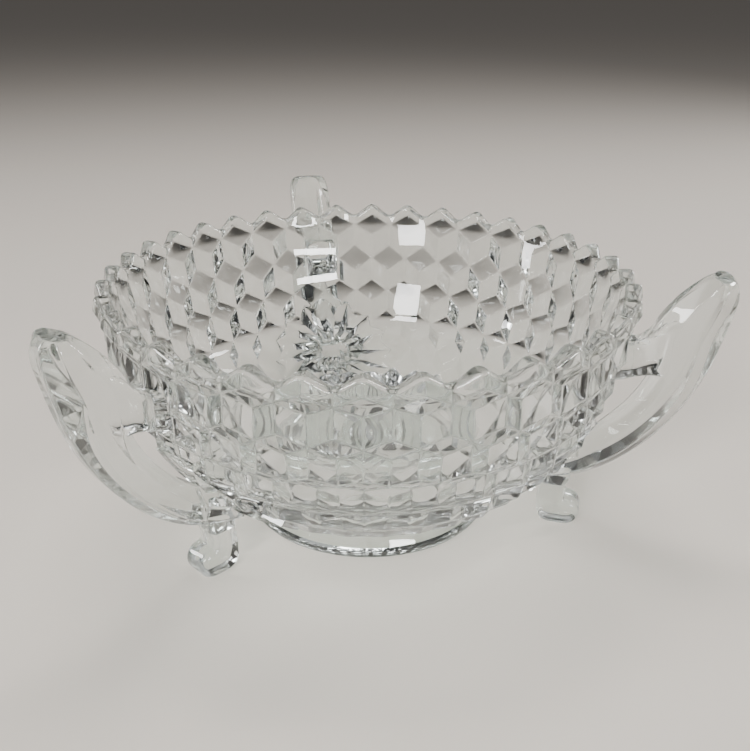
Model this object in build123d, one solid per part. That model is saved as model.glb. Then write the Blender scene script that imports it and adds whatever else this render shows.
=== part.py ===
from build123d import *
from math import cos, sin, radians
import os

# Three-handled footed bowl, one pressing of clear glass, in millimetres. The origin is the centre of the
# foot ring's underside, +Z is up and the back handle points along +Y.

# ---- bowl ----
tooth_count = 36              # cubes around the bowl, one rim tooth on each cube of the top row
rim_radius = 100.0            # outer face at a tooth's crest
rim_height = 98.0             # a tooth's crest above the table
tooth_depth = 6.0             # crest to valley
rim_thickness = 6.0           # glass at a crest
crest_relief = 2.5            # how far a valley lies behind a crest
row_steps = (10.5, 15.5, 15.2, 13.8, 12.0, 9.0)       # height of each cube row, from the rim down
front_drops = (6.0, 10.1, 11.0, 9.8, 7.5, 6.0)        # top corner to front corner of a cube
front_insets = (-1.0, 1.5, 5.5, 11.0, 18.5, 28.5)     # rim radius less front corner radius
wall_thickness = 9.0          # from the front corners of the cubes to the smooth inside
floor_thickness = 5.5
base_drop = 5.0               # middle of the underside below the last cube corners
plate_rise = 5.0              # top edge of the base plate node above the last cube corners
inside_lean = 0.12            # how far the inside draws in for each unit down at the rim

# ---- foot ring ----
ring_radius = 49.5            # outside of the lip that rests on the table
lip_height = 3.0
lip_step = 1.5                # how far the lip stands out of the skirt
ring_wall = 6.5
skirt_taper = 4.5             # how far the skirt draws in from the lip to the bowl

# ---- handles ----
handle_angles = {"back": 0.0, "left": 120.0, "right": 240.0}
strap_width = 18.6            # tangential
strap_bevel = 5.8             # tangential width of each bevel
bevel_depth = 0.3             # depth of each bevel, as a share of the strap's depth
# Outer and inner edge of the strap from the bowl up to the tip of the tab, each as the distance outside
# the rim and the drop below the crests.
strap_stations = (
    ((-30.5, 79.5), (-28.0, 66.0)),
    ((-16.4, 75.5), (-21.0, 63.5)),
    ((-5.4, 69.5), (-13.5, 58.0)),
    ((3.6, 62.0), (-6.5, 51.0)),
    ((11.0, 53.5), (-0.5, 43.5)),
    ((17.4, 44.0), (4.0, 35.5)),
    ((22.2, 34.5), (6.2, 28.5)),
    ((25.6, 25.0), (6.0, 21.0)),
    ((28.2, 15.0), (5.3, 12.5)),
    ((30.0, 6.5), (10.0, 4.2)),
    ((31.0, -0.5), (14.8, -1.5)),
    ((30.2, -4.8), (19.5, -5.8)),
    ((28.2, -7.2), (22.8, -7.6)),
)
strut_width = 12.0
# The strut's upper and lower edge, placed as the strap's are: each starts inside the bowl's wall and ends
# inside the strap.
strut_top = ((-8.0, 19.0), (0.0, 18.3), (4.5, 14.5), (8.0, 9.0), (13.0, 9.0))
strut_bottom = ((-8.0, 33.0), (0.0, 31.5), (13.0, 28.0))

# ---- toes ----
toe_width = 12.0
toe_inset = 21.5              # rim radius less the middle of a toe, which stands under the strap's lower end
curl_radius = 5.7             # the rolled end of the toe
curl_outset = 2.8             # its middle outside the toe's middle
# A toe's edges as the distance outside its middle and the height above the table: the inner side down to the
# table, and the outer side from the rolled end up.
toe_heel = ((-8.5, 10.3), (-7.7, 2.9), (-5.0, 0.0))
toe_neck = ((2.0, 11.4), (2.0, 14.8))
leg_edges = (-7.5, 4.0)       # inner and outer edge where the leg meets the strap, outside the toe's middle
leg_sink = 5.25               # how far the leg runs up into the strap

half_step = 180.0 / tooth_count
last_corner_height = rim_height - sum(row_steps)
underside_height = last_corner_height - base_drop
above = rim_height + 20.0     # past the top of everything


def at(radius, angle, height):
    """A point from its radius, its angle in degrees from +Y and its height."""
    turned = radians(90.0 + angle)
    return Vector(radius * cos(turned), radius * sin(turned), height)


def cube_corners():
    """Radius and height of the top, front and bottom corners of each cube row.

    A cube shows a left, a right and a bottom face. The left face holds the top corner, the front corner, the
    bottom corner of the cube above it to the left and the top corner of the cube below it to the left, so
    the last of these follows from the other three. The bottom corner then closes the bottom face.
    """
    tops = [(rim_radius, rim_height)]
    fronts = []
    bottoms = [(rim_radius - crest_relief, rim_height - tooth_depth)]
    for step, drop, inset in zip(row_steps, front_drops, front_insets):
        top_radius, top_height = tops[-1]
        front_radius = rim_radius - inset
        front_height = top_height - drop
        top = Vector(top_radius, 0, top_height)
        front = Vector(front_radius, 0, front_height)
        side_radius, side_height = bottoms[-1]
        turn = radians(half_step)
        side = Vector(side_radius * cos(turn), side_radius * sin(turn), side_height)
        normal = (front - top).cross(side - top)
        next_height = top_height - step
        across = normal.X * cos(turn) + normal.Y * sin(turn)
        next_radius = (normal.dot(top) - normal.Z * next_height) / across
        fronts.append((front_radius, front_height))
        tops.append((next_radius, next_height))
        bottoms.append((2 * next_radius * cos(turn) - front_radius, 2 * next_height - front_height))
    return tops, fronts, bottoms


def flat_face(*corners):
    return Face(Wire.make_polygon(corners, close=True))


def bowl_block(tops, fronts, bottoms):
    """The bowl with its cube relief and rim teeth, filled solid."""
    faces = []
    for row in range(len(fronts)):
        shift = half_step * (row % 2)
        for tooth in range(tooth_count):
            middle = (2 * tooth + 1) * half_step + shift
            top = at(tops[row][0], middle, tops[row][1])
            front = at(fronts[row][0], middle, fronts[row][1])
            bottom = at(bottoms[row + 1][0], middle, bottoms[row + 1][1])
            low = [at(tops[row + 1][0], middle + side, tops[row + 1][1]) for side in (-half_step, half_step)]
            high = [at(bottoms[row][0], middle + side, bottoms[row][1]) for side in (-half_step, half_step)]
            faces.append(flat_face(top, high[0], low[0], front))
            faces.append(flat_face(top, front, low[1], high[1]))
            faces.append(flat_face(front, low[0], bottom, low[1]))
    lid_centre = Vector(0, 0, bottoms[0][1])
    base_centre = Vector(0, 0, underside_height)
    last_shift = half_step * (len(fronts) % 2)
    for tooth in range(tooth_count):
        crest = (2 * tooth + 1) * half_step
        low_corner = crest + last_shift
        for side in (-half_step, half_step):
            faces.append(flat_face(lid_centre, at(tops[0][0], crest, tops[0][1]),
                                   at(bottoms[0][0], crest + side, bottoms[0][1])))
            faces.append(flat_face(base_centre, at(tops[-1][0], low_corner, tops[-1][1]),
                                   at(bottoms[-1][0], low_corner + side, bottoms[-1][1])))
    return Solid(Shell(faces))


def side_plane(angle):
    """The upright plane through a handle's middle: x is the radius and y the height."""
    outward = at(1.0, angle, 0)
    return Plane(origin=(0, 0, 0), x_dir=outward, z_dir=outward.cross(Vector(0, 0, 1)))


def cavity(fronts):
    """The smooth inside of the bowl: it follows the cubes' front corners at the wall's thickness."""
    points = [(rim_radius - rim_thickness, rim_height)]
    for row in range(1, len(fronts) - 1):
        upper = Vector(*fronts[row - 1])
        lower = Vector(*fronts[row + 1])
        slope = (upper - lower).normalized()
        points.append((fronts[row][0] - wall_thickness * slope.Y, fronts[row][1] + wall_thickness * slope.X))
    middle = (0.0, underside_height + floor_thickness)
    with BuildSketch(Plane.XZ) as section:
        with BuildLine():
            wall = Spline(*points, middle, tangents=[(-inside_lean, -1.0), (-1.0, 0.0)])
            mouth = points[0][0] + inside_lean * (above - rim_height)
            Polyline(wall @ 1, (0, above), (mouth, above), wall @ 0)
        make_face()
    return revolve(section.sketch, Axis.Z)


def slab(low, high):
    size = 3 * rim_radius
    return Pos(0, 0, (low + high) / 2) * Box(size, size, high - low)


def foot_ring():
    """The plain ring under the bowl, run up into the floor, which is cut from it afterwards."""
    top = last_corner_height
    skirt = ring_radius - lip_step
    with BuildSketch(Plane.XZ) as section:
        with BuildLine():
            foot = Polyline((ring_radius - ring_wall, 0), (ring_radius, 0), (ring_radius, lip_height),
                            (skirt, lip_height))
            edge = Spline(foot @ 1, (skirt - skirt_taper, top), tangents=[(-0.5, 1.0), (-0.1, 1.0)])
            Polyline(edge @ 1, (skirt - skirt_taper - ring_wall, top), foot @ 0)
        make_face()
    return revolve(section.sketch, Axis.Z)


def strap_section(angle, outer, inner):
    """An eight-sided section across the strap, between its outer and inner edge."""
    across = at(1.0, angle + 90.0, 0)
    outer_point = at(rim_radius + outer[0], angle, rim_height - outer[1])
    inner_point = at(rim_radius + inner[0], angle, rim_height - inner[1])
    facet = strap_width / 2 - strap_bevel
    side = ((0, facet), (bevel_depth, strap_width / 2), (1 - bevel_depth, strap_width / 2), (1, facet))
    depth = inner_point - outer_point
    corners = [outer_point + depth * share + across * half for share, half in side]
    corners += [outer_point + depth * share - across * half for share, half in reversed(side)]
    return flat_face(*corners)


def handle(angle):
    return loft([strap_section(angle, outer, inner) for outer, inner in strap_stations])


def outside_rim(point):
    """A place in a handle's upright plane from its distance outside the rim and its drop below the crests."""
    return (rim_radius + point[0], rim_height - point[1])


def strut(angle):
    """The bridge from the bowl to the strap, run into both, which are cut from it afterwards."""
    top = [outside_rim(point) for point in strut_top]
    bottom = [outside_rim(point) for point in strut_bottom]
    outline = make_face(Polyline(*top, *reversed(bottom), close=True))
    return extrude(side_plane(angle) * outline, strut_width / 2, both=True)


def toe(angle):
    """A small leg with a rolled end, run up into the strap, which is cut from it afterwards."""
    middle = rim_radius - toe_inset
    curl_middle = middle + curl_outset
    leg_top = outside_rim(strap_stations[0][0])[1] + leg_sink
    heel = [(middle + outside, height) for outside, height in toe_heel]
    neck = [(middle + outside, height) for outside, height in toe_neck]
    leg = make_face(Polyline((middle + leg_edges[0], leg_top), *heel, (curl_middle, 0),
                             (curl_middle, curl_radius), *neck, (middle + leg_edges[1], leg_top), close=True))
    curl = Pos(curl_middle, curl_radius) * Circle(curl_radius)
    return extrude(side_plane(angle) * (leg + curl), toe_width / 2, both=True)


def build():
    """Every node of the bowl by name. Neighbours touch face to face."""
    tops, fronts, bottoms = cube_corners()
    block = bowl_block(tops, fronts, bottoms)
    shell = block - cavity(fronts)
    crown_bottom = tops[1][1]
    plate_top = last_corner_height + plate_rise
    nodes = {
        "rim_crown": shell & slab(crown_bottom, above),
        "bowl_wall": shell & slab(plate_top, crown_bottom),
        "base_plate": shell & slab(0, plate_top),
        "foot_ring": foot_ring() - block,
    }
    for name, angle in handle_angles.items():
        strap = handle(angle) - block
        nodes["handle_" + name] = strap
        nodes["strut_" + name] = strut(angle) - block - strap
        nodes["toe_" + name] = toe(angle) - block - strap
    return nodes


os.makedirs("parts", exist_ok=True)
for node, shape in build().items():
    export_step(shape, f"parts/{node}.step")
    print(node, [round(solid.volume) for solid in shape.solids()])
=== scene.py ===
import math

import bmesh
import bpy
from mathutils import Matrix, Vector


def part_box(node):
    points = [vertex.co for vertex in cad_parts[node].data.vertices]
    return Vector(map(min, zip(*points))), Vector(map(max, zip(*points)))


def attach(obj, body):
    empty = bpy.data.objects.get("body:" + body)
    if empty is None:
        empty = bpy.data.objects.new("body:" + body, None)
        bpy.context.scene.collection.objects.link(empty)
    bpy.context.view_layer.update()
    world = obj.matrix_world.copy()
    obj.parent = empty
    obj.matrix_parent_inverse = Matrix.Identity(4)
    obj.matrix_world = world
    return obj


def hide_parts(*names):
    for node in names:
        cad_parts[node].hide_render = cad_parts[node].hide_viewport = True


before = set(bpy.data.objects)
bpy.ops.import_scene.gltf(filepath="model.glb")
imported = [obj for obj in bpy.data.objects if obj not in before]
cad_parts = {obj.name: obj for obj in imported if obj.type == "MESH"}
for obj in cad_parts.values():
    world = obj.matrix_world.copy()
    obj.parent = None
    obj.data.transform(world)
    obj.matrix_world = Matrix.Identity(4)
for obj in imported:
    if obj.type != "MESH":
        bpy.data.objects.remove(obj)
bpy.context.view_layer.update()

bl_info = {
    "name": "Pressed glass bowl",
    "version": (1, 0, 0),
    "blender": (4, 5, 0),
    "location": "3D View > Sidebar > Glass Bowl",
    "description": "Builds a footed, three-handled bowl of clear pressed glass around its packed frame",
    "category": "Add Mesh",
}

MM = 0.001
RING_LOW, RING_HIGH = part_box("foot_ring")
TOE_LOW, TOE_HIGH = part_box("toe_back")
TABLE = RING_LOW[2]                         # the plane that the bowl stands on
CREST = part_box("rim_crown")[1][2]           # the tips of the rim's teeth
TOE_RADIUS = (TOE_LOW[1] + TOE_HIGH[1]) / 2  # from the axis to the middle of a toe
HANDLE_ANGLES = {"back": 0.0, "left": 120.0, "right": 240.0}      # degrees from +Y
UNFINISHED = "glass_blank"                  # the bowl while roots are still being joined to it
GLASS = "clear_pressed_glass"
JOINT = "seamless_joint"
JOINT_FACES = 1                             # the joint's place among a piece's materials
WELD = 0.003                                # mm within which a finished piece's doubles are merged
SECTOR_WELD = 0.02                          # mm within which neighbouring sectors of the bowl are merged

# Each cube row from the rim down, in mm: its height, the drop from its top corner to its front corner, and
# how far that front corner lies inside the rim radius.
CUBE_ROWS = ((10.5, 6.0, -1.0), (15.5, 10.1, 1.5), (15.2, 11.0, 5.5), (13.8, 9.8, 11.0), (12.0, 7.5, 18.5),
             (9.0, 6.0, 28.5))

RIM_MARGINS = (0.4, 0.5)                    # mm below the teeth and inside the rim that still are rim
RIM_BEND = 60.0                             # degrees past which an edge is one of the rim's two
FACET_BEND = 14.0                           # degrees past which an edge is one between the cubes' faces

# The inside from the wall's last point to the middle: shares of that point's radius and rise over the floor.
FLOOR_CURVE = ((0.62, 0.28), (0.3, 0.05), (0.0, 0.0))
PATH_STEPS = 6                              # points for each stretch of a smooth path down the wall

# Outer and inner edge of a handle's strap from the bowl up to the tip of the tab, in mm outside the rim and
# below the crests.
STRAP = (
    ((-30.5, 79.5), (-28.0, 66.0)), ((-16.4, 75.5), (-21.0, 63.5)), ((-5.4, 69.5), (-13.5, 58.0)),
    ((3.6, 62.0), (-6.5, 51.0)), ((11.0, 53.5), (-0.5, 43.5)), ((17.4, 44.0), (4.0, 35.5)),
    ((22.2, 34.5), (6.2, 28.5)), ((25.6, 25.0), (6.0, 21.0)), ((28.2, 15.0), (5.3, 12.5)),
    ((30.0, 6.5), (10.0, 4.2)), ((31.0, -0.5), (14.8, -1.5)), ((30.2, -4.8), (19.5, -5.8)),
    ((28.2, -7.2), (22.8, -7.6)),
)
# Upper and lower edge of the web between the bowl and the strap, placed as the strap is, and half its width.
WEB = (
    ((-8.0, 18.5), (-8.0, 33.5), 7.6), ((-3.0, 18.6), (-3.0, 32.6), 7.0), ((1.0, 17.8), (1.0, 31.4), 6.2),
    ((4.6, 14.4), (5.0, 30.2), 6.8), ((8.5, 9.5), (9.5, 29.2), 8.4), ((13.5, 6.5), (14.0, 28.4), 9.0),
)
STRAP_STEPS, WEB_STEPS = 5, 4               # sections for each stretch of them
LEAST_FACET = 0.35                          # share of half the strap's width that its flat keeps at the least
WEB_CORNER = 3.2                            # mm, the rounding of the web's edges

# A toe's side outline in mm: outside its middle and above the table. The rolled end is an arc about TOE_CURL.
TOE_LEG = ((-7.0, 25.0), (-7.6, 17.0), (-8.3, 11.0), (-8.2, 5.0), (-6.4, 1.2), (-3.4, 0.0))
TOE_CURL = (2.8, 5.7, 5.7)                  # its middle and radius
TOE_NECK = ((2.2, 12.2), (2.0, 15.0), (3.4, 19.5), (4.4, 25.0))
TOE_BEND = 60.0                             # degrees past which a toe's edge is rounded

# The foot ring's lip in mm above the table: its inner corner, outside the ring's inside face, and its outer
# corner, inside the ring's outside face.
LIP_INNER = ((0.0, 0.8), (0.8, 0.0))
LIP_OUTER = ((1.0, 0.0), (0.3, 0.3), (0.0, 1.0), (0.0, 2.0))
LIP_FILLET = 0.4                            # mm between the lip and the skirt above it
RING_SINK = 3.0                             # mm that the ring runs up into the bowl
SKIRT_STEPS, RING_COLUMNS = 10, 144

STAR_MIDDLE = 16.0      # mm along the wall from its lower edge to a star's middle
STAR_EDGE = 1.5         # mm along the wall that the star keeps clear of that edge
STAR_RIDGE = 0.5        # mm that the ridges stand off the wall
STAR_SPACE = 7.0        # mm off the wall that the space above a star reaches
STAR_BACK = -6.5        # mm off the wall, so inside it, where the glass that backs a star ends
STAR_WASTE = 1.0        # mm of glass left on a star for the space to cut away
BACK_SHARE = 0.985      # outline of the backing glass, as a share of the space's
FLUTE_SHARE = 0.86      # length of a flute, as a share of a ray's
FLUTE_WAVE = (0.12, 0.8)                    # start and length of the part of a half wave that a flute follows
STEEPEST = 0.05         # the least downward sine for which the wall's lower edge shortens a ray
STAR_RINGS = 5          # corners along each ray


# ---------------------------------------------------------------- settings

def length(name, description, millimetres):
    return bpy.props.FloatProperty(
        name=name, description=description, default=millimetres * MM, unit="LENGTH")


class ReliefSettings(bpy.types.PropertyGroup):
    tooth_count: bpy.props.IntProperty(name="Teeth", description="Cubes around the bowl", default=36, min=6)
    rim_radius: length("Rim radius", "Outside of a tooth's crest", 100.0)
    tooth_depth: length("Tooth depth", "Crest to valley", 6.0)
    crest_round: length("Crest radius", "Rounding of the teeth's zigzag", 4.0)
    rim_thickness: length("Rim thickness", "Glass at a crest", 6.0)
    crest_relief: length("Crest relief", "How far a valley lies behind a crest", 2.5)
    wall_thickness: length("Wall", "From the cubes' front corners to the inside", 9.0)
    floor_thickness: length("Floor", "Glass in the middle of the floor", 5.5)
    base_drop: length("Base drop", "Middle of the underside below the last corners", 5.0)
    rim_round: length("Rim rounding", "Fire-polished rounding of the rim's two edges", 1.3)
    cube_round: length("Cube rounding", "Rounding of the cubes' edges", 0.6)


class RingSettings(bpy.types.PropertyGroup):
    lip_height: length("Lip height", "Band that rests on the table", 3.0)
    lip_step: length("Lip step", "How far the lip stands out of the skirt", 1.5)
    wall: length("Wall", "Glass in the ring", 6.5)
    taper: length("Taper", "How far the skirt draws in towards the bowl", 4.5)


class HandleSettings(bpy.types.PropertyGroup):
    width: length("Width", "Across the strap", 18.6)
    bevel: length("Bevel", "Width of each bevel", 5.8)
    bevel_share: bpy.props.FloatProperty(
        name="Bevel depth", description="Share of the strap's depth", default=0.3, min=0.0, max=0.5)
    corner: length("Rounding", "Rounding of the strap's edges", 0.9)
    tip_length: length("Tip", "Length over which the tab narrows to its tip", 8.0)
    tip_share: bpy.props.FloatProperty(
        name="Tip width", description="Share of the width that is left at the tip",
        default=0.66, min=0.2, max=1.0)


class StarSettings(bpy.types.PropertyGroup):
    rays: bpy.props.IntProperty(name="Rays", description="Flutes in each star", default=16, min=6)
    radius: length("Radius", "From a star's middle to the tips of its rays", 30.0)
    flute: length("Flute depth", "Depth of a flute below its ridges", 3.6)


class ToeSettings(bpy.types.PropertyGroup):
    width: length("Width", "Across a toe", 12.0)
    corner: length("Rounding", "Rounding of a toe's side edges", 2.4)


class GlassSettings(bpy.types.PropertyGroup):
    tint: bpy.props.FloatVectorProperty(
        name="Tint", description="Colour of the glass", subtype="COLOR", size=3, default=(0.87, 0.90, 0.885))
    shade: bpy.props.FloatVectorProperty(
        name="Shade", description="Lamp light that each surface lets through", subtype="COLOR", size=3,
        default=(0.50, 0.53, 0.52))
    ior: bpy.props.FloatProperty(name="IOR", description="Refraction", default=1.52, min=1.0, max=2.0)
    wave: length("Wave height", "Height of the slow waves in the pressed faces", 0.035)
    grain: length("Grain height", "Height of the fine unevenness left by the mould", 0.0022)


class StageSettings(bpy.types.PropertyGroup):
    floor_colour: bpy.props.FloatVectorProperty(
        name="Floor", description="Colour of the floor", subtype="COLOR", size=3, default=(0.56, 0.51, 0.455))
    surround: bpy.props.FloatVectorProperty(
        name="Surround", description="Light from the room", subtype="COLOR", size=3,
        default=(0.035, 0.035, 0.037))


SETTINGS = {"bowl_relief": ReliefSettings, "bowl_ring": RingSettings, "bowl_handle": HandleSettings,
            "bowl_star": StarSettings, "bowl_toe": ToeSettings, "bowl_glass": GlassSettings,
            "bowl_stage": StageSettings}


# ---------------------------------------------------------------- shape helpers

def polar(radius, angle, height):
    """A point from its radius, its angle in degrees from +Y and its height."""
    turned = math.radians(90.0 + angle)
    return Vector((radius * math.cos(turned), radius * math.sin(turned), height))


def beside_rim(relief, angle, outside, drop):
    """A point from its distance outside the rim and its drop below the crests, both in mm."""
    return polar(relief.rim_radius + outside * MM, angle, CREST - drop * MM)


def smooth_path(points, steps):
    """A curve through the points, by Catmull and Rom's rule, with its ends kept."""
    padded = [2 * points[0] - points[1], *points, 2 * points[-1] - points[-2]]
    path = []
    for before, start, end, after in zip(padded, padded[1:], padded[2:], padded[3:]):
        for step in range(steps):
            t = step / steps
            path.append(0.5 * (2 * start + (end - before) * t
                               + (2 * before - 5 * start + 4 * end - after) * t ** 2
                               + (3 * start - before - 3 * end + after) * t ** 3))
    path.append(points[-1])
    return path


def new_piece(name, vertices, faces):
    mesh = bpy.data.meshes.new(name)
    mesh.from_pydata([tuple(v) for v in vertices], [], faces)
    mesh.update()
    piece = bpy.data.objects.new(name, mesh)
    bpy.context.scene.collection.objects.link(piece)
    return piece


def give_glass(piece):
    """Gives a shape the glass and, for its cut faces, the joint."""
    piece.data.materials.clear()
    piece.data.materials.append(bpy.data.materials[GLASS])
    piece.data.materials.append(bpy.data.materials[JOINT])
    return piece


def glass_piece(name, vertices, faces):
    return give_glass(new_piece(name, vertices, faces))


def outward(piece, merge=0.0):
    """Merges doubles if asked and turns a closed shape's faces outwards."""
    work = bmesh.new()
    work.from_mesh(piece.data)
    if merge:
        bmesh.ops.remove_doubles(work, verts=work.verts, dist=merge)
    bmesh.ops.recalc_face_normals(work, faces=work.faces)
    if work.calc_volume(signed=True) < 0:
        bmesh.ops.reverse_faces(work, faces=work.faces)
    work.to_mesh(piece.data)
    work.free()
    return piece


def loft(name, sections):
    """A closed tube through sections that have the same number of corners."""
    count = len(sections[0])
    vertices = [corner for section in sections for corner in section]
    faces = [tuple(range(count - 1, -1, -1)), tuple(range(len(vertices) - count, len(vertices)))]
    for ring in range(len(sections) - 1):
        for k in range(count):
            a, b = ring * count + k, ring * count + (k + 1) % count
            faces.append((a, b, b + count, a + count))
    return outward(glass_piece(name, vertices, faces))


def baked(piece):
    """Applies a piece's modifiers."""
    depsgraph = bpy.context.evaluated_depsgraph_get()
    mesh = bpy.data.meshes.new_from_object(piece.evaluated_get(depsgraph))
    piece.modifiers.clear()
    piece.data = mesh
    mesh.name = piece.name
    return piece


def combine(piece, other, operation, keep_other=False):
    """Adds, cuts or keeps the common part of another closed shape, which is then gone unless it is kept."""
    boolean = piece.modifiers.new(operation, "BOOLEAN")
    boolean.operation = operation
    boolean.solver = "EXACT"
    boolean.object = other
    baked(piece)
    if not keep_other:
        bpy.data.objects.remove(other)
    return piece


def together(name, pieces):
    """One object from several shapes that lie apart, which are then gone."""
    work = bmesh.new()
    for piece in pieces:
        work.from_mesh(piece.data)
    whole = new_piece(name, [], [])
    work.to_mesh(whole.data)
    work.free()
    for piece in pieces:
        bpy.data.objects.remove(piece)
    return give_glass(whole)


def split_off(body, cutter, name):
    """Parts the glass inside a cutter from the body as a closed piece of its own."""
    for face in cutter.data.polygons:
        face.material_index = JOINT_FACES
    piece = bpy.data.objects.new(name, body.data.copy())
    bpy.context.scene.collection.objects.link(piece)
    combine(piece, cutter, "INTERSECT", keep_other=True)
    combine(body, cutter, "DIFFERENCE")
    return piece


def soften(piece, rules, segments=2):
    """Rounds edges. The rules give an edge's rounding from its middle and the angle between its faces."""
    work = bmesh.new()
    work.from_mesh(piece.data)
    layers = work.edges.layers.float
    weight = layers.get("bevel_weight_edge") or layers.new("bevel_weight_edge")
    wanted = []
    for edge in work.edges:
        middle = (edge.verts[0].co + edge.verts[1].co) / 2
        bend = math.degrees(edge.calc_face_angle(0.0)) if len(edge.link_faces) == 2 else None
        wanted.append(0.0 if bend is None else rules(middle, bend))
    widest = max(wanted)
    for edge, width in zip(work.edges, wanted):
        edge[weight] = width / widest
    work.to_mesh(piece.data)
    work.free()
    bevel = piece.modifiers.new("Rounding", "BEVEL")
    bevel.limit_method = "WEIGHT"
    bevel.width = widest
    bevel.segments = segments
    bevel.use_clamp_overlap = False
    bevel.loop_slide = True
    return baked(piece)


def polished(piece, sharpest=42.0):
    """Smooth shading in which flat faces stay flat and only edges sharper than the given angle stay sharp."""
    piece.data.shade_smooth()
    piece.data.set_sharp_from_angle(angle=math.radians(sharpest))
    weighted = piece.modifiers.new("Polish", "WEIGHTED_NORMAL")
    weighted.keep_sharp = True
    return baked(piece)


def rounded_ring(corners, radius):
    """A closed outline with each corner rounded."""
    most = 0.4                              # share of a side that one rounding may take
    ring = []
    for k, here in enumerate(corners):
        before, after = corners[k - 1], corners[(k + 1) % len(corners)]
        start = here + (before - here).normalized() * min(radius, (before - here).length * most)
        end = here + (after - here).normalized() * min(radius, (after - here).length * most)
        for t in (0.0, 0.33, 0.67, 1.0):
            ring.append(start * (1 - t) ** 2 + here * 2 * t * (1 - t) + end * t ** 2)
    return ring


# ---------------------------------------------------------------- bowl

def cube_corners(relief):
    """Radius and height of the top, front and bottom corners of each cube row, as the design has them."""
    tops = [(relief.rim_radius, CREST)]
    fronts = []
    bottoms = [(relief.rim_radius - relief.crest_relief, CREST - relief.tooth_depth)]
    turn = math.pi / relief.tooth_count
    for step, drop, inset in CUBE_ROWS:
        top_radius, top_height = tops[-1]
        front_radius, front_height = relief.rim_radius - inset * MM, top_height - drop * MM
        top = Vector((top_radius, 0, top_height))
        side = Vector((bottoms[-1][0] * math.cos(turn), bottoms[-1][0] * math.sin(turn), bottoms[-1][1]))
        normal = (Vector((front_radius, 0, front_height)) - top).cross(side - top)
        next_height = top_height - step * MM
        next_radius = ((normal.dot(top) - normal.z * next_height)
                       / (normal.x * math.cos(turn) + normal.y * math.sin(turn)))
        fronts.append((front_radius, front_height))
        tops.append((next_radius, next_height))
        bottoms.append((2 * next_radius * math.cos(turn) - front_radius, 2 * next_height - front_height))
    return tops, fronts, bottoms


def underside(relief):
    """Height of the middle of the bowl's underside."""
    return cube_corners(relief)[0][-1][1] - relief.base_drop


def inside_path(relief):
    """Radius and height of the smooth inside, from the rim to the middle of the floor."""
    fronts = cube_corners(relief)[1]
    points = [Vector((relief.rim_radius - relief.rim_thickness, CREST - relief.tooth_depth))]
    for upper, here, lower in zip(fronts, fronts[1:], fronts[2:]):
        slope = (Vector(upper) - Vector(lower)).normalized()
        points.append(Vector((here[0] - relief.wall_thickness * slope.y,
                              here[1] + relief.wall_thickness * slope.x)))
    floor = underside(relief) + relief.floor_thickness
    last = points[-1]
    for share, rise in FLOOR_CURVE:
        points.append(Vector((last.x * share, floor + (last.y - floor) * rise)))
    return smooth_path(points, PATH_STEPS)


def tooth_edge(relief, crest, valley, ridge, groove):
    """Half a tooth's outer edge from valley to crest, its point and notch rounded within the cube's face."""
    width = (crest - valley).to_2d().length
    slope = (crest.z - valley.z) / width
    reach = relief.crest_round * math.sin(math.atan(slope))      # where the rounding meets the straight edge
    cut = relief.crest_round * (1 / math.cos(math.atan(slope)) - 1)
    points = []
    for across in (0.0, reach * 0.5, reach, width / 2, width - reach, width - reach * 0.5, width):
        point = valley.lerp(crest, across / width)
        if across < reach:
            sag = relief.crest_round - math.sqrt(relief.crest_round ** 2 - across ** 2)
            point += groove * (cut + sag - slope * across)
        if width - across < reach:
            past = width - across
            sag = relief.crest_round - math.sqrt(relief.crest_round ** 2 - past ** 2)
            point += ridge * (cut + sag - slope * past)
        points.append(point)
    return points


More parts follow.
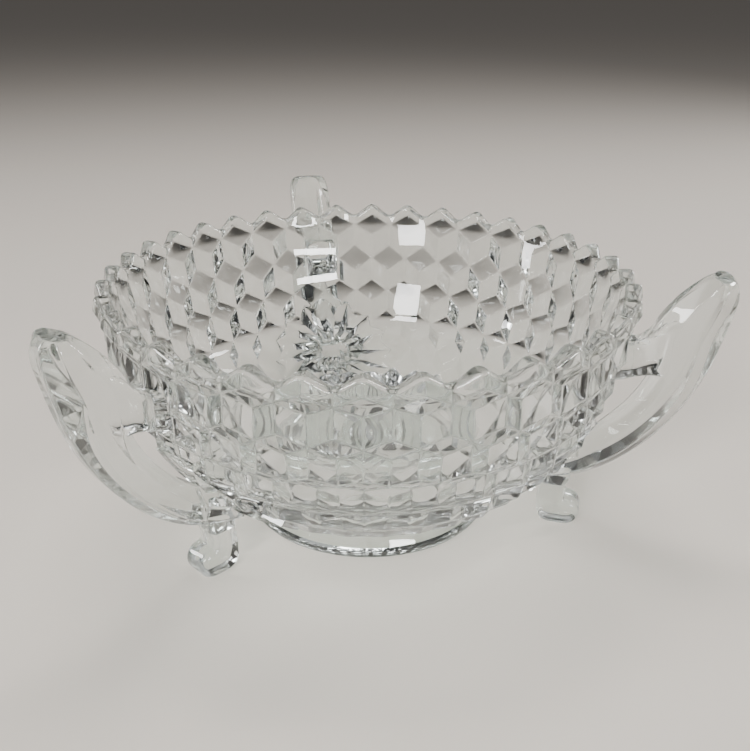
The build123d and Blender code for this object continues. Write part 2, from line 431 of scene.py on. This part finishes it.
def bowl_sector(relief):
    """One cube's share of the bowl: its column of cubes, its tooth and its slice of the inside and floor."""
    tops, fronts, bottoms = cube_corners(relief)
    half = 180.0 / relief.tooth_count
    vertices, faces = [], []

    def face(*points):
        faces.append(tuple(range(len(vertices), len(vertices) + len(points))))
        vertices.extend(points)

    crest = polar(tops[0][0], half, tops[0][1])
    ridge = polar(fronts[0][0], half, fronts[0][1]) - crest
    ridge /= -ridge.z
    edges_out = []
    for side in (0, 2 * half):
        valley = polar(bottoms[0][0], side, bottoms[0][1])
        groove = valley - polar(tops[1][0], side, tops[1][1])
        edges_out.append(tooth_edge(relief, crest, valley, ridge, groove / groove.z))
    rim_out = edges_out[0] + edges_out[1][-2::-1]
    columns = [math.degrees(math.atan2(point.y, point.x)) - 90.0 for point in rim_out]
    inner_radius = relief.rim_radius - relief.rim_thickness
    rim_in = [polar(inner_radius, column, point.z) for column, point in zip(columns, rim_out)]
    for k in range(len(rim_out) - 1):
        face(rim_out[k], rim_out[k + 1], rim_in[k + 1], rim_in[k])
    for row in range(len(fronts)):
        middle = half + half * (row % 2)
        top = polar(tops[row][0], middle, tops[row][1])
        front = polar(fronts[row][0], middle, fronts[row][1])
        bottom = polar(bottoms[row + 1][0], middle, bottoms[row + 1][1])
        low = [polar(tops[row + 1][0], middle + side, tops[row + 1][1]) for side in (-half, half)]
        high = [polar(bottoms[row][0], middle + side, bottoms[row][1]) for side in (-half, half)]
        if row == 0:
            face(*edges_out[0], front, low[0])
            face(*edges_out[1], front, low[1])
        else:
            face(top, high[0], low[0], front)
            face(top, front, low[1], high[1])
        face(front, low[0], bottom, low[1])
    path = inside_path(relief)
    for k in range(len(columns) - 1):
        upper = [rim_in[k], rim_in[k + 1]]
        for radius, height in path[1:-1]:
            lower = [polar(radius, columns[k], height), polar(radius, columns[k + 1], height)]
            face(upper[0], upper[1], lower[1], lower[0])
            upper = lower
        face(upper[0], upper[1], Vector((0, 0, path[-1].y)))
    last = half + half * (len(fronts) % 2)
    low_corner = polar(tops[-1][0], last, tops[-1][1])
    for side in (-half, half):
        side_corner = polar(bottoms[-1][0], last + side, bottoms[-1][1])
        face(Vector((0, 0, underside(relief))), low_corner, side_corner)
    return new_piece("bowl_sector", vertices, faces)


def repeat_tree():
    """Geometry Nodes: the given mesh repeated around the upright axis, merged and given its material."""
    tree = bpy.data.node_groups.new("Repeat around the axis", "GeometryNodeTree")
    sockets = tree.interface
    sockets.new_socket("Geometry", in_out="INPUT", socket_type="NodeSocketGeometry")
    sockets.new_socket("Count", in_out="INPUT", socket_type="NodeSocketInt")
    sockets.new_socket("Merge Distance", in_out="INPUT", socket_type="NodeSocketFloat")
    sockets.new_socket("Material", in_out="INPUT", socket_type="NodeSocketMaterial")
    sockets.new_socket("Geometry", in_out="OUTPUT", socket_type="NodeSocketGeometry")
    nodes, links = tree.nodes, tree.links
    given = nodes.new("NodeGroupInput")
    result = nodes.new("NodeGroupOutput")
    points = nodes.new("GeometryNodeMeshLine")
    points.mode = "OFFSET"
    points.inputs["Offset"].default_value = (0, 0, 0)
    links.new(given.outputs["Count"], points.inputs["Count"])
    index = nodes.new("GeometryNodeInputIndex")
    turn = nodes.new("ShaderNodeMath")
    turn.operation = "DIVIDE"
    turn.inputs[0].default_value = 2 * math.pi
    links.new(given.outputs["Count"], turn.inputs[1])
    angle = nodes.new("ShaderNodeMath")
    angle.operation = "MULTIPLY"
    links.new(index.outputs[0], angle.inputs[0])
    links.new(turn.outputs[0], angle.inputs[1])
    rotation = nodes.new("ShaderNodeCombineXYZ")
    links.new(angle.outputs[0], rotation.inputs["Z"])
    place = nodes.new("GeometryNodeInstanceOnPoints")
    links.new(points.outputs["Mesh"], place.inputs["Points"])
    links.new(given.outputs["Geometry"], place.inputs["Instance"])
    links.new(rotation.outputs[0], place.inputs["Rotation"])
    real = nodes.new("GeometryNodeRealizeInstances")
    links.new(place.outputs[0], real.inputs[0])
    merge = nodes.new("GeometryNodeMergeByDistance")
    links.new(real.outputs[0], merge.inputs["Geometry"])
    links.new(given.outputs["Merge Distance"], merge.inputs["Distance"])
    finish = nodes.new("GeometryNodeSetMaterial")
    links.new(merge.outputs[0], finish.inputs["Geometry"])
    links.new(given.outputs["Material"], finish.inputs["Material"])
    links.new(finish.outputs[0], result.inputs[0])
    return tree


def repeated(piece, count, merge, material):
    tree = bpy.data.node_groups.get("Repeat around the axis") or repeat_tree()
    modifier = piece.modifiers.new("Repeat", "NODES")
    modifier.node_group = tree
    sockets = {item.name: item.identifier for item in tree.interface.items_tree if item.in_out == "INPUT"}
    modifier[sockets["Count"]] = count
    modifier[sockets["Merge Distance"]] = merge
    modifier[sockets["Material"]] = material
    return baked(piece)


# ---------------------------------------------------------------- star

class WallEnvelope:
    """The smooth surface through the cubes' front corners, measured along the wall from its lower edge."""

    def __init__(self, relief):
        tops, fronts, bottoms = cube_corners(relief)
        corners = [bottoms[-1]] + fronts[::-1]
        self.path = smooth_path([Vector(corner) for corner in corners], PATH_STEPS)

    def point(self, along, across, angle, lift):
        """A point beside a handle's plane, lifted off the surface."""
        left = along
        for start, end in zip(self.path, self.path[1:]):
            stretch = (end - start).length
            if left <= stretch or end is self.path[-1]:
                break
            left -= stretch
        direction = (end - start).normalized()
        spot = start + direction * left + Vector((direction.y, -direction.x)) * lift
        return polar(spot.x, angle + math.degrees(across / spot.x), spot.y)


def star_shells(relief, star, angle):
    """A star as two closed shapes: the glass that backs it and the space above it, which cuts its surface.

    The glass has a slightly smaller outline and stands above the surface, so that no faces coincide.
    """
    wall = WallEnvelope(relief)
    middle = STAR_MIDDLE * MM
    spokes = 2 * star.rays
    surface, above, top, bottom = [], [], [], []
    for spoke in range(spokes):
        turn = 2 * math.pi * spoke / spokes
        is_ridge = spoke % 2 == 0
        reach = star.radius * (1.0 if is_ridge else FLUTE_SHARE)
        if math.sin(turn) < 0:
            reach = min(reach, (middle - STAR_EDGE * MM) / max(-math.sin(turn), STEEPEST))
        for ring in range(1, STAR_RINGS + 1):
            share = ring / STAR_RINGS
            out = reach * share
            depth = star.flute * math.sin(math.pi * (FLUTE_WAVE[0] + FLUTE_WAVE[1] * share))
            lift = STAR_RIDGE * MM - (0.0 if is_ridge else depth)
            spot = (middle + out * math.sin(turn), out * math.cos(turn), angle)
            surface.append(wall.point(*spot, lift))
            above.append(wall.point(*spot, STAR_SPACE * MM))
            inner = BACK_SHARE * out
            spot = (middle + inner * math.sin(turn), inner * math.cos(turn), angle)
            top.append(wall.point(*spot, lift + STAR_WASTE * MM))
            bottom.append(wall.point(*spot, STAR_BACK * MM))
    centre = [wall.point(middle, 0.0, angle, lift * MM)
              for lift in (STAR_RIDGE, STAR_SPACE, STAR_RIDGE + STAR_WASTE, STAR_BACK)]
    return closed_star("star", top, centre[2], bottom, centre[3], spokes), \
        closed_star("star_space", surface, centre[0], above, centre[1], spokes)


def closed_star(name, first, first_centre, second, second_centre, spokes):
    """A closed shape between two star-shaped nets."""
    vertices = [*first, first_centre, *second, second_centre]
    faces = []
    for base in (0, len(first) + 1):
        centre = base + len(first)
        for spoke in range(spokes):
            a, b = base + spoke * STAR_RINGS, base + (spoke + 1) % spokes * STAR_RINGS
            faces.append((centre, a, b))
            for ring in range(STAR_RINGS - 1):
                faces.append((a + ring, a + ring + 1, b + ring))
                faces.append((a + ring + 1, b + ring + 1, b + ring))
    last, shift = STAR_RINGS - 1, len(first) + 1
    for spoke in range(spokes):
        a, b = spoke * STAR_RINGS + last, (spoke + 1) % spokes * STAR_RINGS + last
        faces.append((a, b, b + shift, a + shift))
    return outward(glass_piece(name, vertices, faces))


# ---------------------------------------------------------------- handles, toes and foot ring

def strap_blank(name, angle, relief, handle):
    """A handle's strap from inside the wall to the tip of its tab, with bevels along both sides."""
    across = polar(1.0, angle + 90.0, 0)
    outers = smooth_path([Vector(outer) for outer, inner in STRAP], STRAP_STEPS)
    inners = smooth_path([Vector(inner) for outer, inner in STRAP], STRAP_STEPS)
    sections = []
    tip = (outers[-1] + inners[-1]) / 2
    for outer, inner in zip(outers, inners):
        to_tip = ((outer + inner) / 2 - tip).length * MM
        drawn = max(0.0, 1.0 - to_tip / handle.tip_length)
        kept = handle.tip_share + (1 - handle.tip_share) * math.sqrt(1 - drawn ** 2)
        half = handle.width / 2 * kept
        facet = max(half - handle.bevel, half * LEAST_FACET)
        share = handle.bevel_share
        outer_point = beside_rim(relief, angle, *outer)
        inner_point = beside_rim(relief, angle, *inner)
        profile = ((0, facet), (share, half), (1 - share, half), (1, facet))
        corners = [outer_point.lerp(inner_point, t) + across * h for t, h in profile]
        corners += [outer_point.lerp(inner_point, t) - across * h for t, h in reversed(profile)]
        sections.append(rounded_ring(corners, handle.corner))
    return loft(name, sections)


def web_blank(name, angle, relief):
    """The bridge from the bowl to the strap, flared at both ends."""
    across = polar(1.0, angle + 90.0, 0)
    stations = [Vector((*upper, half)) for upper, lower, half in WEB]
    lowers = smooth_path([Vector(lower) for upper, lower, half in WEB], WEB_STEPS)
    sections = []
    for station, lower in zip(smooth_path(stations, WEB_STEPS), lowers):
        top = beside_rim(relief, angle, station.x, station.y)
        bottom = beside_rim(relief, angle, *lower)
        side = across * station.z * MM
        corners = [top + side, bottom + side, bottom - side, top - side]
        sections.append(rounded_ring(corners, WEB_CORNER * MM))
    return loft(name, sections)


def toe_blank(name, angle, toe):
    """The small leg with its rolled end, pressed from a side outline."""
    middle, height, radius = TOE_CURL
    curl = [(middle + radius * math.sin(math.radians(a)), height - radius * math.cos(math.radians(a)))
            for a in range(0, 181, 15)]
    outline = [*TOE_LEG, *curl, *TOE_NECK]
    across = polar(1.0, angle + 90.0, 0)
    sections = [[polar(TOE_RADIUS + x * MM, angle, TABLE + z * MM) + across * side for x, z in outline]
                for side in (-toe.width / 2, toe.width / 2)]
    piece = loft(name, sections)
    return soften(piece, lambda middle, bend: toe.corner if bend > TOE_BEND else 0.0, 4)


def ring_blank(ring, relief):
    """The foot ring: its lip, its skirt and the part that runs up into the bowl."""
    outside = RING_HIGH[0]
    inside = outside - ring.wall
    top = underside(relief) + RING_SINK * MM
    skirt = outside - ring.lip_step
    profile = [(inside + out * MM, TABLE + up * MM) for out, up in LIP_INNER]
    profile += [(outside - back * MM, TABLE + up * MM) for back, up in LIP_OUTER]
    profile.append((outside - LIP_FILLET * MM, TABLE + ring.lip_height))
    start = TABLE + ring.lip_height + LIP_FILLET * MM
    for k in range(SKIRT_STEPS + 1):
        t = k / SKIRT_STEPS
        profile.append((skirt - ring.taper * (1 - (1 - t) ** 2), start + (top - start) * t))
    profile.append((skirt - ring.taper - ring.wall, top))
    vertices = [polar(r, 360.0 * c / RING_COLUMNS, z) for c in range(RING_COLUMNS) for r, z in profile]
    count = len(profile)
    faces = []
    for c in range(RING_COLUMNS):
        shift = ((c + 1) % RING_COLUMNS - c) * count
        for k in range(count):
            a, b = c * count + k, c * count + (k + 1) % count
            faces.append((a, b, b + shift, a + shift))
    return outward(glass_piece("ring_blank", vertices, faces))


# ---------------------------------------------------------------- cutters

# Outlines of the slabs that part a handle and a toe from their roots, as radius and height in mm, and half
# the slabs' widths. The handle's keeps just clear of the wall.
HANDLE_SIDE = ((83.6, 39.7), (86.8, 19.6), (145.0, 19.6), (145.0, 130.0), (101.9, 130.0), (101.9, 84.4),
               (99.1, 79.3), (99.1, 62.0), (95.3, 54.0), (91.4, 47.2))
TOE_SIDE = ((66.0, -5.0), (97.0, -5.0), (97.0, 18.0), (66.0, 18.0))
HANDLE_SLAB, TOE_SLAB = 16.0, 12.0
# The ring's slab in mm: below the table, below the bowl's underside and outside the ring.
RING_SLAB = (5, 0.6, 6)


def side_cutter(name, side, angle, half_width):
    """A closed slab around one handle's plane, from its outline in radius and height."""
    across = polar(half_width * MM, angle + 90.0, 0)
    return loft(name, [[polar(r * MM, angle, TABLE + z * MM) + across * sign for r, z in side]
                       for sign in (-1, 1)])


def ring_cutter(relief):
    """A round closed slab around the foot ring, up to just below the bowl's underside."""
    columns = 96
    deep, clear, wide = RING_SLAB
    heights = (TABLE - deep * MM, underside(relief) - clear * MM)
    return loft("ring_cutter", [[polar(RING_HIGH[0] + wide * MM, 360.0 * c / columns, z)
                                 for c in range(columns)] for z in heights])


# ---------------------------------------------------------------- materials

class Socket:
    """An output of a node in a material's tree. Arithmetic on it adds Math nodes."""

    def __init__(self, tree, output):
        self.tree = tree
        self.output = output

    def add(self, kind, settings=None, values=None, output=0):
        """Any other node, from its type, its settings and the values or links of its sockets."""
        node = self.tree.nodes.new(kind)
        for name, value in (settings or {}).items():
            setattr(node, name, value)
        for name, value in (values or {}).items():
            if isinstance(value, Socket):
                self.tree.links.new(value.output, node.inputs[name])
            else:
                node.inputs[name].default_value = value
        return Socket(self.tree, node.outputs[output])

    def maths(self, operation, first, second):
        return self.add("ShaderNodeMath", {"operation": operation}, {0: first, 1: second})

    def __add__(self, other):
        return self.maths("ADD", self, other)

    __radd__ = __add__

    def __mul__(self, other):
        return self.maths("MULTIPLY", self, other)

    __rmul__ = __mul__

    def feed(self, shader, name):
        self.tree.links.new(self.output, shader.inputs[name])


def new_material(name):
    """A material, its shader and the object's own coordinates."""
    material = bpy.data.materials.new(name)
    material.use_nodes = True
    tree = material.node_tree
    coordinates = tree.nodes.new("ShaderNodeTexCoord")
    return material, tree.nodes["Principled BSDF"], Socket(tree, coordinates.outputs["Object"])


# Scale and detail of each noise: the glass's slow waves, mould grain and wiping marks, and the floor's grain.
WAVES, GRAIN, MARKS, FLOOR_GRAIN = (95.0, 1.0), (900.0, 2.0), (38.0, 4.0), (400.0, 3.0)
MARK_ROUGHNESS = 0.05                       # of the glass where the wiping marks are strongest
FLOOR_ROUGHNESS, FLOOR_VARIATION = 0.5, 0.1


def noise(place, scale, detail):
    return place.add("ShaderNodeTexNoise", {"noise_dimensions": "3D"},
                     {"Vector": place, "Scale": scale, "Detail": detail})


def clear_glass(glass):
    """Fire-polished pressed glass: slow waves in its faces, a fine mould grain and faint wiping marks."""
    material, shader, place = new_material(GLASS)
    shader.inputs["Base Color"].default_value = (*glass.tint, 1.0)
    shader.inputs["IOR"].default_value = glass.ior
    shader.inputs["Transmission Weight"].default_value = 1.0
    waves = noise(place, *WAVES)
    grain = noise(place, *GRAIN)
    marks = noise(place, *MARKS)
    height = waves * glass.wave + grain * glass.grain
    bump = place.add("ShaderNodeBump", {}, {"Strength": 1.0, "Distance": 1.0, "Height": height})
    bump.feed(shader, "Normal")
    (marks * marks * MARK_ROUGHNESS).feed(shader, "Roughness")
    through = place.add("ShaderNodeBsdfTransparent", {}, {"Color": (*glass.shade, 1.0)})
    lamp_ray = place.add("ShaderNodeLightPath", output="Is Shadow Ray")
    surface = Socket(place.tree, shader.outputs["BSDF"])
    seen = place.add("ShaderNodeMixShader", {}, {"Fac": lamp_ray, 1: surface, 2: through})
    seen.feed(place.tree.nodes["Material Output"], "Surface")
    return material


def joint_material():
    """The cut faces where two regions of the one pressing meet: nothing is seen of them."""
    material, shader, place = new_material(JOINT)
    shader.inputs["Alpha"].default_value = 0.0
    shader.inputs["Specular IOR Level"].default_value = 0.0
    return material


def studio_floor(stage):
    material, shader, place = new_material("studio_floor")
    shader.inputs["Base Color"].default_value = (*stage.floor_colour, 1.0)
    grain = noise(place, *FLOOR_GRAIN)
    (grain * FLOOR_VARIATION + FLOOR_ROUGHNESS).feed(shader, "Roughness")
    return material


# ---------------------------------------------------------------- light and camera

FLOOR_RADIUS = 12.0                         # metres
FLOOR_GAP = 0.15                            # mm between the floor and a foot ring that is never quite flat
DAYLIGHT = ((0.5, 0.35, -1.0), 0.45, 60)    # direction, strength and spread in degrees
# Each lamp's place, the point it faces and its width and height, in metres, and its power in watts.
LAMPS = {
    "window": ((-0.75, -0.95, 0.7), (0, 0, 0.06), (0.34, 0.5), 19),
    "overhead": ((0.05, 0.3, 1.0), (0, 0, 0), (0.45, 0.3), 9),
    "side": ((1.1, 0.25, 0.6), (0, 0, 0.05), (0.16, 0.6), 9),
    "front": ((0.35, -1.2, 0.35), (0, 0, 0.05), (0.5, 0.1), 9),
    "left": ((-1.2, 0.35, 0.45), (0, 0, 0.05), (0.15, 0.5), 7),
}
NOT_REFLECTED = "overhead"                  # this lamp would be a bright patch on the bowl's floor

CAMERA_TURN = -104.09                       # degrees from +X around the bowl
CAMERA_DISTANCE, CAMERA_HEIGHT = 0.3154, 0.19869                # metres from the axis and above the table
CAMERA_ASIDE, CAMERA_PITCH, CAMERA_ROLL = 0.0081, 24.907, 0.0047    # radians, degrees down, radians
CAMERA_LENS = 41.76                         # mm


def sun_light(name, direction, strength, spread):
    """Soft daylight over the whole floor."""
    light = bpy.data.lights.new(name, "SUN")
    light.energy = strength
    light.angle = math.radians(spread)
    lamp = bpy.data.objects.new(name, light)
    lamp.rotation_euler = Vector(direction).to_track_quat("-Z", "Y").to_euler()
    bpy.context.scene.collection.objects.link(lamp)
    return lamp


def area_light(name, place, target, size, power):
    light = bpy.data.lights.new(name, "AREA")
    light.shape = "RECTANGLE"
    light.size, light.size_y = size
    light.energy = power
    lamp = bpy.data.objects.new(name, light)
    lamp.location = place
    lamp.rotation_euler = (Vector(target) - Vector(place)).to_track_quat("-Z", "Y").to_euler()
    bpy.context.scene.collection.objects.link(lamp)
    return lamp


def set_camera():
    turn = math.radians(CAMERA_TURN)
    ahead_turn = turn + math.pi - CAMERA_ASIDE
    pitch, roll = math.radians(CAMERA_PITCH), CAMERA_ROLL
    place = Vector((CAMERA_DISTANCE * math.cos(turn), CAMERA_DISTANCE * math.sin(turn), CAMERA_HEIGHT))
    ahead = Vector((math.cos(ahead_turn) * math.cos(pitch), math.sin(ahead_turn) * math.cos(pitch),
                    -math.sin(pitch)))
    level = ahead.cross(Vector((0, 0, 1))).normalized()
    upright = level.cross(ahead)
    right = level * math.cos(roll) + upright * math.sin(roll)
    up = upright * math.cos(roll) - level * math.sin(roll)
    data = bpy.data.cameras.new("camera")
    data.lens = CAMERA_LENS
    data.clip_start = 0.01
    camera = bpy.data.objects.new("camera", data)
    camera.matrix_world = Matrix((
        (right.x, up.x, -ahead.x, place.x), (right.y, up.y, -ahead.y, place.y),
        (right.z, up.z, -ahead.z, place.z), (0, 0, 0, 1)))
    bpy.context.scene.collection.objects.link(camera)
    bpy.context.scene.camera = camera


def wide_floor():
    """A round pale floor that fills the view, a hair below the foot ring."""
    columns = 64
    height = TABLE - FLOOR_GAP * MM
    vertices = [polar(FLOOR_RADIUS, 360.0 * c / columns, height) for c in range(columns)]
    return new_piece("floor", vertices, [tuple(range(columns))])


# ---------------------------------------------------------------- operators

def finish_piece(piece, *nodes):
    """Polishes a piece, hangs it under the root body and hides the CAD parts of the nodes it stands for."""
    polished(piece)
    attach(piece, "root")
    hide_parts(*nodes)


class BOWL_OT_materials(bpy.types.Operator):
    """Mixes the glass and the seamless joint that its pieces meet in."""
    bl_idname = "bowl.materials"
    bl_label = "Mix the glass"

    def execute(self, context):
        clear_glass(context.scene.bowl_glass)
        joint_material()
        return {"FINISHED"}


class BOWL_OT_body(bpy.types.Operator):
    """Presses the bowl: its cubes, its toothed rim, its smooth inside and its floor."""
    bl_idname = "bowl.body"
    bl_label = "Press the bowl"

    def execute(self, context):
        relief = context.scene.bowl_relief
        glass = bpy.data.materials[GLASS]
        whole = repeated(bowl_sector(relief), relief.tooth_count, SECTOR_WELD * MM, glass)
        bowl = give_glass(outward(whole))
        for face in bowl.data.polygons:
            face.material_index = 0
        rim_edge = CREST - relief.tooth_depth - RIM_MARGINS[0] * MM
        inner_edge = relief.rim_radius - relief.rim_thickness - RIM_MARGINS[1] * MM

        def rounding(middle, bend):
            if middle.z > rim_edge and bend > RIM_BEND:
                return relief.rim_round
            if bend < FACET_BEND or middle.to_2d().length < inner_edge and middle.z > rim_edge:
                return 0.0
            return relief.cube_round

        soften(bowl, rounding, 2)
        bowl.name = UNFINISHED
        return {"FINISHED"}


class BOWL_OT_stars(bpy.types.Operator):
    """Presses a fluted star into the wall around each handle's root."""
    bl_idname = "bowl.stars"
    bl_label = "Press the stars"

    def execute(self, context):
        scene = context.scene
        shells = [star_shells(scene.bowl_relief, scene.bowl_star, angle)
                  for angle in HANDLE_ANGLES.values()]
        bowl = bpy.data.objects[UNFINISHED]
        combine(bowl, together("stars", [star for star, space in shells]), "UNION")
        combine(bowl, together("star_spaces", [space for star, space in shells]), "DIFFERENCE")
        return {"FINISHED"}


class BOWL_OT_ring(bpy.types.Operator):
    """Makes the foot ring and leaves its root under the bowl."""
    bl_idname = "bowl.ring"
    bl_label = "Make the foot ring"

    def execute(self, context):
        root = ring_blank(context.scene.bowl_ring, context.scene.bowl_relief)
        ring = split_off(root, ring_cutter(context.scene.bowl_relief), "glass_foot_ring")
        finish_piece(ring, "foot_ring")
        root.name = "root_ring"
        return {"FINISHED"}


class BOWL_OT_handles(bpy.types.Operator):
    """Makes the three strap handles with their webs and toes, and leaves their roots on the wall."""
    bl_idname = "bowl.handles"
    bl_label = "Make the handles and toes"

    def execute(self, context):
        scene = context.scene
        for name, angle in HANDLE_ANGLES.items():
            root = strap_blank("root_" + name, angle, scene.bowl_relief, scene.bowl_handle)
            combine(root, web_blank("web_blank", angle, scene.bowl_relief), "UNION")
            combine(root, toe_blank("toe_blank", angle, scene.bowl_toe), "UNION")
            toe_slab = side_cutter("toe_cutter", TOE_SIDE, angle, TOE_SLAB)
            finish_piece(split_off(root, toe_slab, "glass_toe_" + name), "toe_" + name)
            handle_slab = side_cutter("handle_cutter", HANDLE_SIDE, angle, HANDLE_SLAB)
            handle = split_off(root, handle_slab, "glass_handle_" + name)
            finish_piece(handle, "handle_" + name, "strut_" + name)
        return {"FINISHED"}


class BOWL_OT_join(bpy.types.Operator):
    """Joins the roots of the handles, toes and foot ring to the bowl, so that all of it is one pressing."""
    bl_idname = "bowl.join"
    bl_label = "Join the roots"

    def execute(self, context):
        bowl = bpy.data.objects[UNFINISHED]
        roots = [bpy.data.objects["root_" + name] for name in ("ring", *HANDLE_ANGLES)]
        combine(bowl, together("roots", roots), "UNION")
        outward(bowl, merge=WELD * MM)
        bowl.name = "glass_bowl"
        finish_piece(bowl, "rim_crown", "bowl_wall", "base_plate")
        return {"FINISHED"}


class BOWL_OT_stage(bpy.types.Operator):
    """Sets the floor, the soft light and the camera."""
    bl_idname = "bowl.stage"
    bl_label = "Set the stage"

    def execute(self, context):
        scene = context.scene
        floor = wide_floor()
        floor.data.materials.append(studio_floor(scene.bowl_stage))
        world = bpy.data.worlds.new("studio")
        world.use_nodes = True
        world.node_tree.nodes["Background"].inputs["Color"].default_value = (*scene.bowl_stage.surround, 1)
        scene.world = world
        sun_light("daylight", *DAYLIGHT)
        for name, lamp in LAMPS.items():
            area_light(name, *lamp).visible_glossy = name != NOT_REFLECTED
        set_camera()
        scene.cycles.max_bounces = 24
        scene.cycles.transmission_bounces = 24
        scene.cycles.glossy_bounces = 8
        scene.cycles.transparent_max_bounces = 24
        return {"FINISHED"}


OPERATORS = (BOWL_OT_materials, BOWL_OT_body, BOWL_OT_stars, BOWL_OT_ring, BOWL_OT_handles, BOWL_OT_join,
             BOWL_OT_stage)


class BOWL_PT_panel(bpy.types.Panel):
    """Lists the steps that make the bowl and its sizes."""
    bl_idname = "BOWL_PT_panel"
    bl_label = "Glass Bowl"
    bl_space_type = "VIEW_3D"
    bl_region_type = "UI"
    bl_category = "Glass Bowl"

    def draw(self, context):
        for step in OPERATORS:
            self.layout.operator(step.bl_idname)
        for attribute, group in SETTINGS.items():
            box = self.layout.box()
            for name in group.__annotations__:
                box.prop(getattr(context.scene, attribute), name)


def register():
    for attribute, group in SETTINGS.items():
        bpy.utils.register_class(group)
        setattr(bpy.types.Scene, attribute, bpy.props.PointerProperty(type=group))
    for cls in (*OPERATORS, BOWL_PT_panel):
        bpy.utils.register_class(cls)


def unregister():
    for cls in reversed((*OPERATORS, BOWL_PT_panel)):
        bpy.utils.unregister_class(cls)
    for attribute, group in SETTINGS.items():
        delattr(bpy.types.Scene, attribute)
        bpy.utils.unregister_class(group)


def main():
    register()
    bpy.ops.bowl.materials()
    bpy.ops.bowl.body()
    bpy.ops.bowl.stars()
    bpy.ops.bowl.ring()
    bpy.ops.bowl.handles()
    bpy.ops.bowl.join()
    bpy.ops.bowl.stage()


if __name__ == "__main__":
    main()
